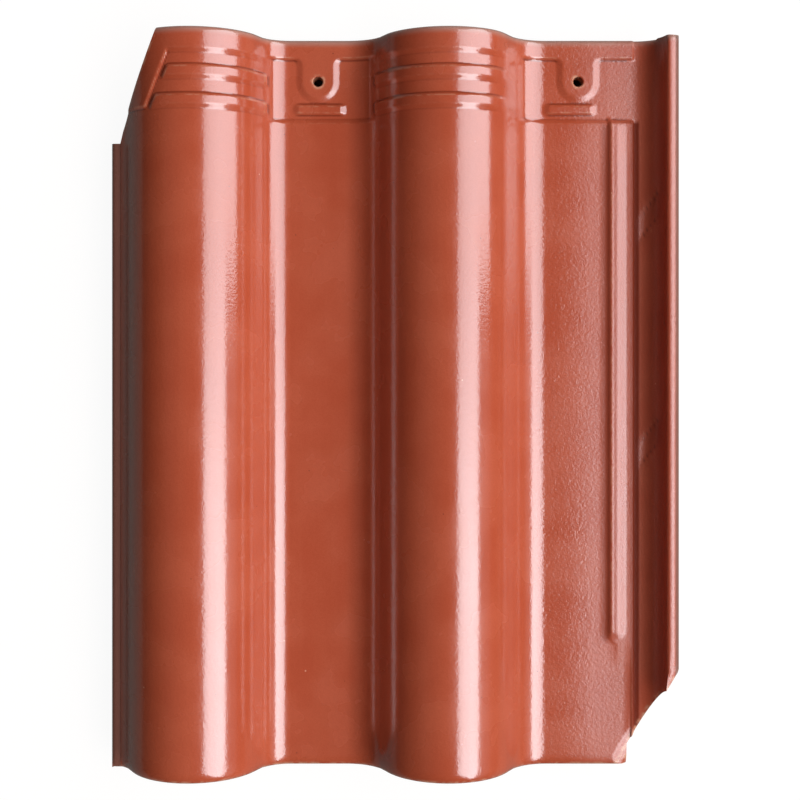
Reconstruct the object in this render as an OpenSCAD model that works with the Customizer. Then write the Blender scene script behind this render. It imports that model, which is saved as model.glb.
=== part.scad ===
// Interlocking clay roof tile with two rolls, two pans and a side lock.
// The head is toward +Y, the tail toward -Y, the weather face toward +Z. Sizes in mm.

/* [Tile] */
// Length from the head edge to the tail edge
tile_l = 400; // [360:1:440]
// Width over the cover flange and the lock lip
tile_w = 310; // [306:1:330]
// Thickness of the clay
clay_t = 9.5; // [8:0.5:11]
// Rounding of the head edge on the weather side
head_edge_r = 2.5; // [1.5:0.1:3.5]
// Rounding of the tail edge on the weather side
tail_edge_r = 6; // [3:0.5:7]

/* [Rolls] */
// Distance between the two crests
roll_pitch = 138; // [134:1:142]
// Height of the crests above the pans
roll_h = 34; // [31:0.5:37]
// Half the width of a roll where it runs into the pan
roll_half_w = 55; // [53:0.5:57]
// Radius of the crest
crest_r = 39; // [36:0.5:42]
// Radius of the hollow at the foot of a roll
foot_r = 22; // [19:0.5:25]

/* [Cover flange] */
// Width of the flange beside the left roll
flange_w = 5; // [4:0.5:7]
// Thickness of the flange
flange_t = 3; // [2.5:0.1:3.4]
// Height of the flange above the pan
flange_z = 5; // [4.6:0.1:6]
// Distance from the head edge to the start of the flange
flange_from_head = 58; // [56:1:80]

/* [Side lock] */
// Width of the raised lip
lip_w = 7.5; // [7.5:0.1:9]
// Height of the lip above the pan
lip_h = 14.5; // [13.5:0.5:17]
// Rounding of the lip on the channel side
lip_inner_r = 1.8; // [1:0.1:2]
// Rounding of the lip on the outer side
lip_outer_r = 4.8; // [2:0.1:4.9]
// Radius of the channel beside the lip
channel_r = 15; // [14:0.5:16]
// Slope of the channel wall at its top
channel_angle = 80; // [76:1:84]
// Depth of the channel floor below the strip beside it
channel_drop = 1.5; // [1.4:0.1:2]
// Width of the step from the strip down to the channel floor
channel_step_w = 1.2; // [0.8:0.1:1.6]
// Width of the strip between the channel and the water bar
strip_w = 3.2; // [2.5:0.1:4]
// Height of the water bar above the strip
bar_h = 2.2; // [1.6:0.1:2.3]
// Width of the flat top of the water bar
bar_top_w = 3.4; // [2:0.1:4]
// Width of the steep side of the water bar
bar_steep_w = 2.6; // [2:0.1:4]
// Width of the gentle side of the water bar
bar_gentle_w = 4.4; // [3:0.1:5]
// Distance from the head edge to the water bar
bar_from_head = 44; // [42:1:60]
// Distance from the tail edge to the water bar
bar_from_tail = 67; // [62:1:90]
// Length of the sloped ends of the water bar
bar_end_l = 5; // [3:0.5:8]
// Depth of the slanted grooves in the channel wall
groove_d = 0.9; // [0.6:0.1:1.2]
// Width of the slanted grooves along the tile
groove_w = 15; // [12:0.5:20]
// Rise of the slanted grooves along the tile for each mm across it
groove_slant = 1.42; // [1:0.01:1.8]
// Distances from the head edge to the middles of the slanted grooves
groove_from_head = [109, 233.5];

/* [Head relief] */
// Height of the collars on the rolls and depth of the sunk panels
relief_h = 1.2; // [0.8:0.1:1.5]
// Reach of the collars to each side of a crest
collar_reach = 41; // [39.5:0.1:44]
// Width of the collar along the head edge
head_collar_w = 12.7; // [11:0.1:15]
// Width of the two lower collars
collar_w = 7; // [6:0.1:8]
// Distances from the head edge to the two lower collars
collar_from_head = [20.5, 35.7];
// Length of the slope on the sides of the relief
relief_run = 1.1; // [0.8:0.1:1.6]
// Width of the plain band between the head edge and the sunk panels
head_band_w = 10; // [8:0.1:11]
// Distance from the head edge to the foot of the sunk panels
panel_from_head = 43.3; // [42:0.1:48]
// Length of the slope from the sunk panels up to the pans
panel_run = 3.2; // [2:0.1:5]
// Distances of the nail holes from the crests on their left
hole_from_crest = [67, 72.6];
// Distance of the nail holes from the head edge
hole_from_head = 23; // [21:0.5:25]
// Diameter of the nail holes
hole_d = 5.5; // [4:0.1:7]
// Half the width of the tabs round the nail holes
tab_r = 9.6; // [8:0.1:11]
// Length of the bars below the tabs
stop_l = 26; // [20:0.5:30]
// Width of the bars below the tabs
stop_w = 5; // [4:0.1:6]
// Distance from the head edge to the bars
stop_from_head = 35.9; // [34.5:0.1:37]
// Sideways shift of the bars from the nail holes
stop_shift = [1, -4.5];
// Width of the raised border along the head corner
border_w = 11; // [9:0.5:13]
// Distance from the head edge to the end of the border
border_from_head = 42; // [38:0.5:46]
// Width of the drain gap between the border and the collars
drain_w = 2.6; // [2:0.1:4]

/* [Corners] */
// Head corner left out beside the left roll, along the head edge
head_cut_w = 29.4; // [26:0.1:34]
// Head corner left out beside the left roll, along the side
head_cut_l = 52; // [48:0.5:55]
// Distance of the end of the head corner from the side
head_cut_inset = 6.8; // [6:0.1:9]
// Tail corner left out beside the lip, along the side
tail_cut_l = 56; // [50:0.5:60]
// Tail corner left out beside the lip, across the tile
tail_cut_w = 26.4; // [24:0.1:30]
// Length of the straight side below the tail corner
tail_cut_straight = 11.6; // [8:0.1:16]
// Width of the bevel at the end of the lip
lip_bevel_w = 2.6; // [1.5:0.1:4]
// Depth of the bevel at the end of the lip
lip_bevel_h = 1.8; // [1:0.1:3]
// Length of the bevel at the tail corner, along the side
tail_bevel_l = 19; // [14:0.5:24]
// Width of the bevel at the tail corner, along the tail edge
tail_bevel_w = 11; // [8:0.5:16]
// Depth of the bevel at the tail corner
tail_bevel_h = 5; // [3:0.5:7]

/* [Underside] */
// Depth of the nibs and feet below the pans
nib_h = 8; // [6:0.5:14]
// Width of the nibs and feet across the tile
nib_w = 30; // [24:1:36]
// Length of the nibs and feet along the tile
nib_l = 11; // [9:0.5:14]
// Distance from the head edge to the nibs
nib_from_head = 3; // [2:0.5:4]
// Distance from the tail edge to the feet
foot_from_tail = 14; // [8:1:30]
// Draft of the sides of the nibs and feet
nib_draft = 2; // [1:0.1:3]

/* [Hidden] */
// Angle of one facet on a curve
facet_a = 3.5;
// Reach of a cut or a joint past the face it meets
overrun = 2;
// Height of the cutters above the relief
cutter_h = 12;
// Least length of the straight flank of a roll
flank_l = 2;
// Slope of the two facets that round an edge
round_a = 22.5;
// Share of a facet by which the stations of the rounded edges stand off its start
edge_share = 0.25;
$fn = 96;
half_l = tile_l / 2;
half_w = tile_w / 2;
pan_z = nib_h + clay_t;
// Radius of the hollow foot, as far as the roll has room for it
arc_room = (pow(roll_half_w, 2) + pow(roll_h, 2) - pow(flank_l, 2)) / (2 * roll_h);
hollow_r = min(foot_r, arc_room - crest_r);
// Slope of the straight flank between the crest and the foot
arc_sum = crest_r + hollow_r;
arc_rise = roll_h - arc_sum;
flank_a = atan2(arc_rise, roll_half_w) + asin(arc_sum / norm([roll_half_w, arc_rise]));
// Angle at which the hollow foot meets the flange
flange_a = acos(1 - flange_z / hollow_r);
crest_x = [
    flange_w - half_w + roll_half_w - hollow_r * sin(flange_a),
    flange_w - half_w + roll_half_w - hollow_r * sin(flange_a) + roll_pitch
];
// Angle of the hollow foot at the end of the collars
reach_a = asin((roll_half_w - collar_reach) / hollow_r);
// Centre of the channel curve
channel_x = half_w - lip_w - channel_r * sin(channel_angle);
channel_z = channel_r - channel_drop;
// Edge of the strip at the channel, and foot of the water bar on the side of the pan
strip_x = channel_x - channel_step_w;
bar_x = strip_x - strip_w - bar_gentle_w - bar_top_w - bar_steep_w;
// Rise of the line of the head corner for each mm across the tile
corner_slope = head_cut_l / (head_cut_w - head_cut_inset);
hole_x = crest_x + hole_from_crest;
hole_y = half_l - hole_from_head;

// Points of an arc from angle a to angle b
function arc(c, r, a, b) =
    let (n = ceil(abs(b - a) / facet_a))
    [for (i = [0 : n]) c + r * [cos(a + (b - a) * i / n), sin(a + (b - a) * i / n)]];

// Points of an arc that stand between those of the full arc
function arc_between(c, r, a, b, start_share = 0.5) =
    let (n = ceil(abs(b - a) / facet_a))
    [for (i = [start_share : n]) c + r * [cos(a + (b - a) * i / n), sin(a + (b - a) * i / n)]];

function reversed(list) = [for (i = [len(list) - 1 : -1 : 0]) list[i]];

// Weather face of a roll moved outward by d
function crest_c(x) = [x, roll_h - crest_r];
function left_foot_c(x) = [x - roll_half_w, hollow_r];
function right_foot_c(x) = [x + roll_half_w, hollow_r];
function crest(x, d) = arc(crest_c(x), crest_r + d, 90 + flank_a, 90 - flank_a);
function left_foot(x, d) = arc(left_foot_c(x), hollow_r - d, 270, 270 + flank_a);
function right_foot(x, d) = arc(right_foot_c(x), hollow_r - d, 270 - flank_a, 270);
function roll(x, d) = concat(left_foot(x, d), crest(x, d), right_foot(x, d));

// Line of a collar over a roll, moved outward by d
function collar_line(x, d) = concat(
    arc_between(left_foot_c(x), hollow_r - d, 270 + reach_a, 270 + flank_a),
    arc_between(crest_c(x), crest_r + d, 90 + flank_a, 90 - flank_a),
    arc_between(right_foot_c(x), hollow_r - d, 270 - flank_a, 270 - reach_a)
);

// Line of the left pan between the collars, moved outward by d
function left_pan_line(d) = concat(
    arc_between(right_foot_c(crest_x[0]), hollow_r - d, 270 - reach_a, 270),
    arc_between(left_foot_c(crest_x[1]), hollow_r - d, 270, 270 + reach_a)
);

// Line of the right pan from the collar to the channel, moved outward by d
function right_pan_line(d) = concat(
    arc_between(right_foot_c(crest_x[1]), hollow_r - d, 270 - reach_a, 270),
    [[channel_x, d]]
);

// Weather face of a roll by stations for the rounded edges, moved outward by d
function edge_roll(x, d, a) = concat(
    arc_between(left_foot_c(x), hollow_r - d, 270 + a, 270 + flank_a, edge_share),
    arc_between(crest_c(x), crest_r + d, 90 + flank_a, 90 - flank_a, edge_share),
    arc_between(right_foot_c(x), hollow_r - d, 270 - flank_a, 270, edge_share)
);

// Weather face from the flange to the channel, moved outward by d
function tail_line(d) = concat(
    [[-half_w - overrun, flange_z + d]],
    edge_roll(crest_x[0], d, flange_a),
    edge_roll(crest_x[1], d, 0),
    [[channel_x, d]]
);

// The same line carried on up the channel wall, where it leaves the clay
function head_line(d) =
    let (
        c = [channel_x, channel_z],
        high_a = channel_angle * 3 / 4,
        out_r = channel_r - d - head_edge_r - overrun
    )
    concat(
        tail_line(d),
        arc_between(c, channel_r - d, 270, 270 + high_a, edge_share),
        [c + out_r * [sin(high_a), -cos(high_a)]]
    );

// Section of the clay on the weather side, from the flange to the lip
function weather_line() =
    let (
        top = lip_h - lip_inner_r,
        wall = [channel_x, channel_z] + channel_r * [sin(channel_angle), -cos(channel_angle)],
        touch = top + lip_inner_r * cos(channel_angle),
        lip_x = wall[0] + (touch - wall[1]) / tan(channel_angle) + lip_inner_r * sin(channel_angle)
    )
    concat(
        [[-half_w, flange_z - flange_t], [-half_w, flange_z]],
        arc(left_foot_c(crest_x[0]), hollow_r, 270 + flange_a, 270 + flank_a),
        crest(crest_x[0], 0),
        right_foot(crest_x[0], 0),
        roll(crest_x[1], 0),
        [[strip_x, 0]],
        arc([channel_x, channel_z], channel_r, 270, 270 + channel_angle),
        arc([lip_x, top], lip_inner_r, 90 + channel_angle, 90),
        arc([half_w - lip_outer_r, lip_h - lip_outer_r], lip_outer_r, 90, 0)
    );

// Section of the clay on the underside, from the lip to the flange
function under_line() =
    let (
        under_r = channel_r + clay_t,
        edge_a = asin((half_w - channel_x) / under_r),
        inner = crest_c(crest_x[0]) + (crest_r - clay_t) * [-sin(flank_a), cos(flank_a)],
        drop = inner[1] - flange_z + flange_t
    )
    concat(
        arc([channel_x, channel_z], under_r, 270 + edge_a, 270),
        [[bar_x, -clay_t]],
        reversed(roll(crest_x[1], -clay_t)),
        reversed(right_foot(crest_x[0], -clay_t)),
        reversed(crest(crest_x[0], -clay_t)),
        [[inner[0] - drop / tan(flank_a), flange_z - flange_t]]
    );

// Solid through four corners at each station, along X
module ribbon(stations) {
    last = len(stations) - 1;
    polyhedron(
        points = [for (s = stations) each s],
        faces = concat(
            [[0, 1, 2], [0, 2, 3]],
            [for (i = [0 : last - 1], k = [0 : 3])
                let (m = (k + 1) % 4)
                each [[4 * i + m, 4 * i + k, 4 * i + k + 4], [4 * i + m, 4 * i + k + 4, 4 * i + m + 4]]],
            [[4 * last + 2, 4 * last + 1, 4 * last], [4 * last + 3, 4 * last + 2, 4 * last]]
        )
    );
}

// Corners of one station between its low and high points, with tail and head ends of each
function station(low, high, low_y, high_y) = [
    [low[0], low_y[0], low[1]],
    [low[0], low_y[1], low[1]],
    [high[0], high_y[1], high[1]],
    [high[0], high_y[0], high[1]]
];

// Block whose outline changes from low to high between two heights
module pad(low, high, low_z, high_z) {
    n = len(low);
    polyhedron(
        points = concat([for (p = low) [p[0], p[1], low_z]], [for (p = high) [p[0], p[1], high_z]]),
        faces = concat(
            [[for (i = [0 : n - 1]) i]],
            [[for (i = [n - 1 : -1 : 0]) n + i]],
            [for (i = [0 : n - 1]) [(i + 1) % n, i, n + i, n + (i + 1) % n]]
        )
    );
}

function box_outline(x0, x1, y0, y1) = [[x0, y0], [x1, y0], [x1, y1], [x0, y1]];

// Plain pressed section over the whole length
module section_body() {
    translate([0, half_l, 0])
        rotate([90, 0, 0])
            linear_extrude(tile_l)
                polygon(concat(weather_line(), under_line()));
}

// Raised collar over a roll, from one distance below the head edge to another
module collar(x, from_head, width) {
    low = collar_line(x, -overrun);
    high = collar_line(x, relief_h);
    sunk = collar_line(x, -relief_h);
    last = len(low) - 1;
    head = half_l - from_head;
    spread = relief_run * (overrun + relief_h) / relief_h;
    ribbon([for (i = [0 : last])
        station(
            low[i],
            i == 0 || i == last ? sunk[i] : high[i],
            [head - width - spread + relief_run / 2, min(head + spread, half_l) - relief_run / 2],
            [head - width + relief_run / 2, head - relief_run / 2]
        )]);
}

// Step across the tile that moves the line of the head corner in by d
function corner_step(d) = d * norm([1, corner_slope]) / corner_slope;

// Line along the head corner, moved across the tile by step
function corner_y(x, step) = half_l + (x + half_w - head_cut_w - step) * corner_slope;

// Raised border beside the head corner
module border() {
    step = corner_step(border_w);
    low = collar_line(crest_x[0], -overrun);
    high = collar_line(crest_x[0], relief_h);
    end_x = head_cut_w + step - half_w;
    foot = half_l - border_from_head;
    used = [for (i = [0 : len(low) - 1]) if (high[i][0] < end_x) i];
    ribbon([for (i = used)
        station(
            low[i],
            high[i],
            [max(foot, corner_y(high[i][0], step)) - relief_run, half_l - relief_run / 2],
            [max(foot, corner_y(high[i][0], step)) + relief_run / 2, half_l - relief_run]
        )]);
}

// Corner side of the drain gap, where the lower collars stop
module drain_side() {
    end_x = head_cut_w + corner_step(border_w + drain_w) - half_w;
    foot = half_l - panel_from_head - collar_w;
    linear_extrude(roll_h + cutter_h)
        polygon([
            [-half_w, half_l],
            [-half_w, foot],
            [end_x - (half_l - foot) / corner_slope, foot],
            [end_x, half_l]
        ]);
}

// Outline of the tab round a nail hole, widened by d
function tab_outline(x, d) =
    let (top = half_l - head_band_w + relief_run)
    concat(
        arc([x, hole_y], tab_r + d, 180, 360),
        [[x + tab_r + d, top - relief_run * 2], [x + tab_r + d + relief_run * 2, top]],
        [[x - tab_r - d - relief_run * 2, top], [x - tab_r - d, top - relief_run * 2]]
    );

// Outline of the bar below a tab, widened by d
function stop_outline(x, head, d) =
    box_outline(x - stop_l / 2 - d, x + stop_l / 2 + d, head - stop_w - d, head + d);

// Tab and bar left standing in a sunk panel
module panel_islands(i) {
    draft = relief_run / relief_h;
    low_z = -relief_h - overrun;
    high_z = relief_h / 2;
    pad(
        tab_outline(hole_x[i], -low_z * draft),
        tab_outline(hole_x[i], -high_z * draft),
        low_z,
        high_z
    );
    mid_x = hole_x[i] + stop_shift[i];
    head = half_l - stop_from_head;
    low_d = -low_z * draft;
    high_d = -high_z * draft;
    pad(stop_outline(mid_x, head, low_d), stop_outline(mid_x, head, high_d), low_z, high_z);
}

// Space above a sunk panel, along the line of its floor
module panel_space(floor_line, high_line, rim_line, both_rims) {
    last = len(floor_line) - 1;
    head = half_l - head_band_w;
    foot = half_l - panel_from_head;
    head_slope = relief_run / relief_h;
    foot_slope = panel_run / relief_h;
    ribbon([for (i = [0 : last])
        station(
            i == 0 || (both_rims && i == last) ? rim_line[i] : floor_line[i],
            high_line[i],
            [foot, head - relief_run],
            [foot - foot_slope * (relief_h + overrun), head + head_slope * overrun]
        )]);
}

module sunk_panels() {
    low = -relief_h;
    rim = relief_h / 4;
    difference() {
        panel_space(left_pan_line(low), left_pan_line(overrun), left_pan_line(rim), true);
        panel_islands(0);
    }
    difference() {
        panel_space(right_pan_line(low), right_pan_line(overrun), right_pan_line(rim), false);
        panel_islands(1);
    }
}

// Water bar beside the channel, with sloped ends and its foot sunk in the strip
module water_bar() {
    sink = relief_h / 2;
    spread = sink / bar_h;
    top_left = bar_x + bar_steep_w;
    top_right = top_left + bar_top_w;
    head = half_l - bar_from_head;
    tail = -half_l + bar_from_tail;
    pad(
        box_outline(
            bar_x - bar_steep_w * spread,
            top_right + bar_gentle_w * (1 + spread),
            tail - bar_end_l * spread,
            head + bar_end_l * spread
        ),
        box_outline(top_left, top_right, tail + bar_end_l, head - bar_end_l),
        -sink,
        bar_h
    );
}

// Slanted groove in the channel wall
module groove(from_head) {
    floor_line = arc_between([channel_x, channel_z], channel_r + groove_d, 270, 270 + channel_angle);
    high_line = arc_between([channel_x, channel_z], channel_r - overrun, 270, 270 + channel_angle);
    mid = half_l - from_head;
    ribbon([for (i = [0 : len(floor_line) - 1])
        let (y = mid + (floor_line[i][0] - channel_x) * groove_slant)
        station(
            floor_line[i],
            high_line[i],
            [y - groove_w / 2, y + groove_w / 2],
            [y - groove_w / 2 - overrun, y + groove_w / 2 + overrun]
        )]);
}

// Nib or foot under a pan, with its bearing face toward the tail
module nib(x, tail_y) {
    low = nib_w / 2 - nib_draft;
    high = nib_w / 2 + nib_draft * overrun / nib_h;
    pad(
        box_outline(x - low, x + low, tail_y, tail_y + nib_l - nib_draft),
        box_outline(x - high, x + high, tail_y, tail_y + nib_l + nib_draft * overrun / nib_h),
        -clay_t - nib_h,
        -clay_t + overrun
    );
}

module nibs() {
    mid_x = [
        (crest_x[0] + crest_x[1]) / 2,
        (crest_x[1] + roll_half_w + bar_x) / 2
    ];
    for (x = mid_x) {
        nib(x, half_l - nib_from_head - nib_l);
        nib(x, -half_l + foot_from_tail);
    }
}

module head_corner() {
    low_z = -clay_t - overrun;
    translate([0, 0, low_z])
        linear_extrude(roll_h + cutter_h - low_z)
            polygon([
                [-half_w - overrun, half_l + overrun],
                [-half_w + head_cut_w, half_l + overrun],
                [-half_w + head_cut_w, half_l],
                [-half_w + head_cut_inset, half_l - head_cut_l],
                [-half_w + flange_w, half_l - flange_from_head],
                [-half_w - overrun, half_l - flange_from_head]
            ]);
}

module tail_corner() {
    low_z = -clay_t - overrun - channel_drop;
    translate([0, 0, low_z])
        linear_extrude(roll_h + cutter_h - low_z)
            polygon([
                [half_w + overrun, -half_l + tail_cut_l],
                [half_w, -half_l + tail_cut_l],
                [half_w - tail_cut_w, -half_l + tail_cut_straight],
                [half_w - tail_cut_w, -half_l - overrun],
                [half_w + overrun, -half_l - overrun]
            ]);
}

// Cutter that slopes down on the left of the line between two points
module bevel(from, to, z, width, depth) {
    run = to - from;
    translate([from[0], from[1], z])
        rotate([0, 0, atan2(run[1], run[0])])
            rotate([90, 0, 90])
                linear_extrude(norm(run) + overrun)
                    polygon([
                        [-overrun * width / depth, overrun],
                        [width * 2, -depth * 2],
                        [width * 2, overrun]
                    ]);
}

// Bevel of the lip along the tail corner
module lip_bevel() {
    run = [-tail_cut_w, tail_cut_straight - tail_cut_l];
    along = run / norm(run);
    start = [half_w, -half_l + tail_cut_l] + lip_bevel_w * [along[1], -along[0]];
    bevel(start, start + along * lip_w * 2, lip_h, lip_bevel_w, lip_bevel_h);
}

// Bevel of the strip at the end of the tail edge
module tail_bevel() {
    side_x = half_w - tail_cut_w;
    deep = tail_bevel_l * tail_bevel_w / norm([tail_bevel_l, tail_bevel_w]);
    start = [side_x, -half_l + tail_bevel_l];
    bevel(start, [side_x - tail_bevel_w, -half_l], 0, deep, tail_bevel_h);
}

// Space outside a rounded edge, along one line at each of its four depths
module round_edge(lines, ends) {
    ribbon([for (i = [0 : len(lines[0]) - 1])
        [for (k = [0 : 3]) [lines[k][i][0], ends[k], lines[k][i][1]]]]);
}

module head_edge() {
    turn_d = head_edge_r * (1 - cos(2 * round_a));
    reach = head_edge_r + overrun / tan(round_a);
    out_y = half_l + overrun;
    round_edge(
        [head_line(-turn_d), head_line(-reach), head_line(overrun), head_line(overrun)],
        [half_l - turn_d, out_y, out_y, half_l - reach]
    );
}

module tail_edge() {
    turn_d = tail_edge_r * (1 - cos(2 * round_a));
    reach = tail_edge_r + overrun / tan(round_a);
    out_y = -half_l - overrun;
    round_edge(
        [tail_line(-turn_d), tail_line(overrun), tail_line(overrun), tail_line(-reach)],
        [turn_d - half_l, reach - half_l, out_y, out_y]
    );
}

module nail_hole(x) {
    translate([x, hole_y, -clay_t - overrun])
        cylinder(h = clay_t + overrun * 2, d = hole_d);
}

module roof_tile() {
    color("sienna")
        translate([0, 0, pan_z])
            difference() {
                union() {
                    difference() {
                        section_body();
                        sunk_panels();
                        for (g = groove_from_head) groove(g);
                    }
                    water_bar();
                    nibs();
                    for (x = crest_x) collar(x, 0, head_collar_w);
                    for (c = collar_from_head) {
                        collar(crest_x[1], c, collar_w);
                        difference() {
                            collar(crest_x[0], c, collar_w);
                            drain_side();
                        }
                    }
                    border();
                }
                head_edge();
                tail_edge();
                head_corner();
                tail_corner();
                lip_bevel();
                tail_bevel();
                for (x = hole_x) nail_hole(x);
            }
}

roof_tile();
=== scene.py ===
import math

import bpy
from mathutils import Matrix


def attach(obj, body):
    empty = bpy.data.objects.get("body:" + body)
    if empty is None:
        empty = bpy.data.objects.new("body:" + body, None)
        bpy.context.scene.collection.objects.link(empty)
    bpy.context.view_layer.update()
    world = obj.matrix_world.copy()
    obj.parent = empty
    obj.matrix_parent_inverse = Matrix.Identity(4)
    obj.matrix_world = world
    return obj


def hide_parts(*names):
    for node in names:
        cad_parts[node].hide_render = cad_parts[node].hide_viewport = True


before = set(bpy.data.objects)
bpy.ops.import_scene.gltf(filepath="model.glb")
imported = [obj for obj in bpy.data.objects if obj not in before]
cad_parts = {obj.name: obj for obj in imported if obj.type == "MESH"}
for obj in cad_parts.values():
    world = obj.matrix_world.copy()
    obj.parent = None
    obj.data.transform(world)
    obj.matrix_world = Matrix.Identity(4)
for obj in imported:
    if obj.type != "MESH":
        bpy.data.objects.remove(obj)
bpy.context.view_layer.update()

MM = 0.001

# Sizes of the tile in mm, those of its solid with softer edges
HALF_L = 200.0
HALF_W = 155.0
CLAY_T = 9.5
NIB_H = 8.0
PAN_Z = NIB_H + CLAY_T
FACE_SLACK = 0.35
HEAD_EDGE_R = 2.5
TAIL_EDGE_L = 6.0
TAIL_EDGE_D = 2.5
EDGE_TILT_MOST = 2.2
ROLL_H = 34.0
ROLL_PITCH = 138.0
ROLL_HALF_W = 55.0
CREST_R = 39.0
FOOT_R = 22.0
TIGHT_HALF_W = 52.1
TIGHT_FOOT_R = 17.5
FLANGE_W = 5.0
FLANGE_T = 3.0
FLANGE_LEAST_T = 0.6
FLANGE_Z = 5.0
FLANGE_FROM_HEAD = 58.0
FLANGE_EDGE_R = 2.6
LIP_W = 7.5
LIP_H = 14.5
LIP_INNER_R = 1.8
LIP_OUTER_R = 4.8
LIP_TOP_D = 3.0
LIP_EDGE_D = 1.2
CHANNEL_R = 15.0
CHANNEL_ANGLE = math.radians(80)
CHANNEL_DROP = 1.5
CHANNEL_STEP_W = 1.2
STRIP_W = 3.2
STRIP_RISE = 0.15
STRIP_FADE_L = 6.0
BAR_H = 1.55
BAR_RIM_H = 0.15
BAR_RIM_W = 1.0
BAR_TOP_W = 3.4
BAR_STEEP_W = 2.6
BAR_STEEP_RUN = BAR_STEEP_W * 0.8
BAR_GENTLE_W = 4.4
BAR_GENTLE_RUN = BAR_GENTLE_W + 0.2
BAR_SHIFT = 0.5
BAR_HEAD_Y = 154.6
BAR_HEAD_SLANT = 0.38
BAR_TAIL_Y = -129.0
BAR_TAIL_ROUND = 0.06
BAR_END_L = 4.5
GROOVE_D = 0.8
GROOVE_W = 15.0
GROOVE_WALL_W = 2.2
GROOVE_SLANT = 1.42
GROOVE_INSET = 2.0
GROOVE_FADE_W = (4.0, 3.0)
GROOVE_Y = (91.0, -33.5)
DISH_X = 90.0
DISH_RUN = 20.0
DISH_D = 0.27
DISH_SIDE_W = 4.0
DISH_FADE_L = 14.0
DISH_INSET = (8.0, 12.0)
DISH_TURN = (6.0, 12.0)
RELIEF_H = 1.2
RELIEF_FOOT_Y = 150.0
WALL_W = 1.5
SOFT_WALL_W = 2.7
COLLAR_REACH = 41.0
COLLAR_END = 39.4
COLLAR_FADE = 29.0
COLLAR_FADE_W = 9.0
COLLAR_SETBACK = 0.6
HEAD_COLLAR_INSET = 4.0
HEAD_COLLAR_Y = 187.3
COLLAR_Y = ((172.5, 179.5), (157.3, 164.3))
PANEL_HEAD_Y = 189.4
PANEL_FOOT_Y = 155.1
PANEL_RUN = 2.3
PANEL_SIDE_W = 4.0
HOLE_Y = 177.0
HOLE_R = 2.75
HOLE_X = (-41.964, 101.636)
HOLE_FLARE_D = 0.5
HOLE_FLARE = 1.2
TAB_R = 10.1
TAB_WALL_W = 3.3
TAB_FLARE = 0.16
TAB_FLARE_L = 3.2
STOP_X = (-40.964, 97.136)
STOP_HALF_L = 13.0
STOP_Y = (159.1, 164.1)
BORDER_W = 11.0
BORDER_FOOT_Y = 158.0
DRAIN_W = 2.6
HEAD_CUT_W = 29.4
HEAD_CUT_L = 52.0
HEAD_CUT_INSET = 6.8
TAIL_CUT_L = 56.0
TAIL_CUT_W = 26.4
TAIL_CUT_STRAIGHT = 11.6
LIP_BEVEL = (5.0, 1.7)
TAIL_BEVEL_L = 19.0
TAIL_BEVEL_W = 11.0
TAIL_BEVEL_H = (3.2, 1.8)
TAIL_BEVEL_TURN = (0.7, 0.3)
NIB_W = 30.0
NIB_L = 11.0
NIB_DRAFT = 2.0
NIB_EDGE_R = 0.9
NIB_Y = (186.0, -186.0)
OVERRUN = 2.0
SMOOTH_ANGLE = math.radians(38)


def flank_angle(half_w, foot_r):
    """Slope of the straight flank between a roll's crest and its foot"""
    arcs = CREST_R + foot_r
    rise = ROLL_H - arcs
    return math.atan2(rise, half_w) + math.asin(arcs / math.hypot(half_w, rise))


FLANK_A = flank_angle(ROLL_HALF_W, FOOT_R)
TIGHT_A = flank_angle(TIGHT_HALF_W, TIGHT_FOOT_R)
FLANGE_A = math.acos(1 - FLANGE_Z / FOOT_R)
FLANGE_X = FLANGE_W - HALF_W
LEFT_CREST_X = FLANGE_X + ROLL_HALF_W - FOOT_R * math.sin(FLANGE_A)
CREST_X = (LEFT_CREST_X, LEFT_CREST_X + ROLL_PITCH)
CREST_SPAN = CREST_R * math.sin(FLANK_A)
CREST_Z = ROLL_H - CREST_R
LIP_X = HALF_W - LIP_W
LIP_FACE_Z = LIP_H / 3
CHANNEL_X = LIP_X - CHANNEL_R * math.sin(CHANNEL_ANGLE)
CHANNEL_Z = CHANNEL_R - CHANNEL_DROP
STRIP_X = CHANNEL_X - CHANNEL_STEP_W
BAR_X = STRIP_X - STRIP_W - BAR_GENTLE_W - BAR_TOP_W - BAR_STEEP_W
CORNER_SLOPE = HEAD_CUT_L / (HEAD_CUT_W - HEAD_CUT_INSET)
NIB_X = ((CREST_X[0] + CREST_X[1]) / 2, (CREST_X[1] + ROLL_HALF_W + BAR_X) / 2)

# Colours of the glaze and of the clay below it
DEEP_GLAZE = (0.395, 0.066, 0.0275, 1)
LIGHT_GLAZE = (0.435, 0.081, 0.035, 1)
STREAKED_GLAZE = (0.465, 0.102, 0.047, 1)
DARK_GRAIN = (0.335, 0.047, 0.016, 1)
DARK_SPECK = (0.16, 0.026, 0.012, 1)
PALE_SPECK = (0.62, 0.28, 0.18, 1)
# Pooled glaze in the relief's hollows, and painted shade in the lock's crease and beside the water
# bar
POOLED_GLAZE_AND_SHADE = (0.15, 0.018, 0.006, 1)
THIN_GLAZE = (0.56, 0.25, 0.15, 1)
# Painted sheen: a pale grey-tan reflection along the rounded head edge
HEAD_EDGE_SHEEN = (0.40, 0.235, 0.185, 1)
# Painted shade on the flange's outer edge and the lip's outer side
SIDE_EDGE_SHADE = (0.16, 0.085, 0.065, 1)
BARE_CLAY = (0.43, 0.17, 0.085, 1)
PALE_CLAY = (0.56, 0.25, 0.135, 1)
HARD_FIRED_CLAY = (0.40, 0.13, 0.06, 1)


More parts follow.
